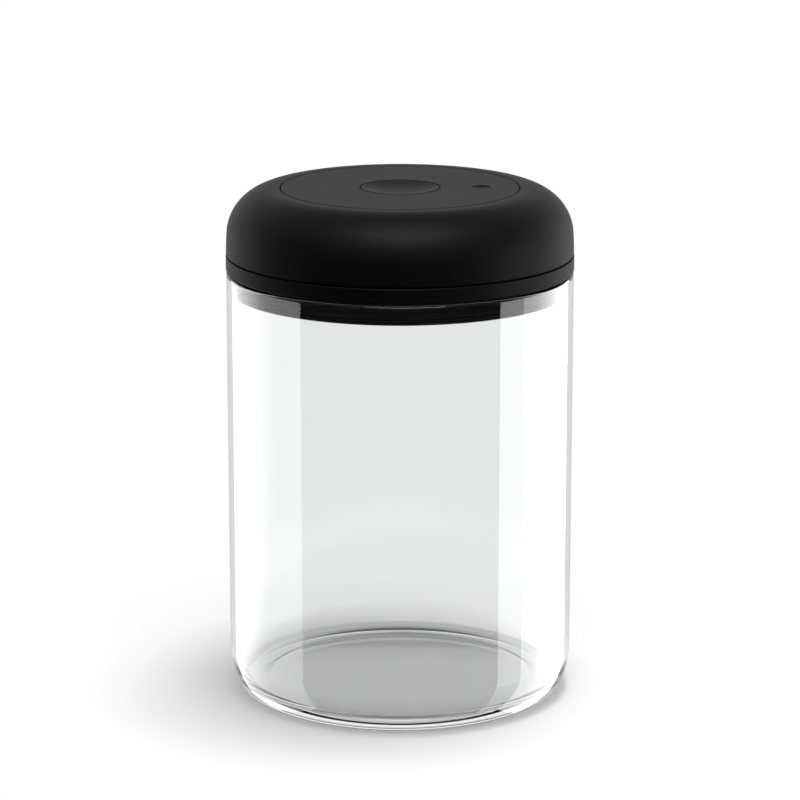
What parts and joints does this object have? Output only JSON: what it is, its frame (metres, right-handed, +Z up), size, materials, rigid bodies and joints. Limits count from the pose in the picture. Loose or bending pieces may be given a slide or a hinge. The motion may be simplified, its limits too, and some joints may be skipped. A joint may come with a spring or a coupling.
{
  "type": "vacuum seal canister",
  "caption": "Clear glass food canister with a domed black lid that twists to pump air out, with a dished release button and a small vacuum indicator.",
  "frame": {"origin": "middle of the jar's foot, on the surface that it stands on", "axes": "+Z up along the jar's axis, -Y towards the front, +X to the right, towards the vacuum indicator"},
  "size_m": [0.117, 0.117, 0.1736],
  "materials": {
    "clear_glass": "clear, polished",
    "black_plastic": "fine matt grain",
    "black_silicone": "smooth, satin",
    "grey_plastic": "moulded, satin",
    "white_acetal": "smooth, slippery",
    "filter_felt": "fine felt",
    "spring_steel": "bright stainless"
  },
  "bodies": {
    "jar": {"glass_jar": "clear_glass"},
    "lid": {"lid_base": "black_plastic", "rim_gasket": "black_silicone", "deck_gasket": "black_silicone", "pump_block": "grey_plastic", "inlet_valves": "black_silicone", "guide_drum": "grey_plastic", "top_disc": "black_plastic", "glide_ring": "white_acetal", "button_spring": "spring_steel", "indicator_spring": "spring_steel", "indicator_diaphragm": "black_silicone", "filter_cap": "black_plastic", "filter_mesh": "filter_felt", "drum_screws": "spring_steel", "block_screws": "spring_steel"},
    "cap": {"cap_shell": "black_plastic", "cam_sleeve": "grey_plastic", "sleeve_screws": "spring_steel"},
    "pump": {"carriage": "grey_plastic", "follower_pins": "spring_steel", "cam_rollers": "white_acetal", "pistons": "grey_plastic", "piston_seals": "black_silicone", "carriage_screws": "spring_steel"},
    "button": {"release_button": "black_plastic", "release_stem": "grey_plastic", "valve_poppet": "grey_plastic", "poppet_seal": "black_silicone"},
    "indicator": {"vacuum_indicator": "black_plastic"}
  },
  "joints": [
    {"name": "lid_lift", "type": "slide", "parent": "jar", "child": "lid", "axis": [0, 0, 1], "range_m": [0, 0.12]},
    {"name": "cap_turn", "type": "hinge", "parent": "lid", "child": "cap", "pos_m": [0, 0, 0.1517], "axis": [0, 0, 1], "range_deg": [0, 90]},
    {"name": "pump_stroke", "type": "slide", "parent": "lid", "child": "pump", "axis": [0, 0, 1], "range_m": [0, 0.006]},
    {"name": "button_press", "type": "slide", "parent": "lid", "child": "button", "axis": [0, 0, -1], "range_m": [0, 0.002], "stiffness_N_per_m": 900, "deforming": ["button_spring"]},
    {"name": "indicator_drop", "type": "slide", "parent": "lid", "child": "indicator", "axis": [0, 0, -1], "range_m": [0, 0.002], "stiffness_N_per_m": 120, "deforming": ["indicator_spring", "indicator_diaphragm"]}
  ],
  "couplings": [
    {"joint": "pump_stroke", "follows": "cap_turn", "m_per_rad": 0.0038197}
  ]
}
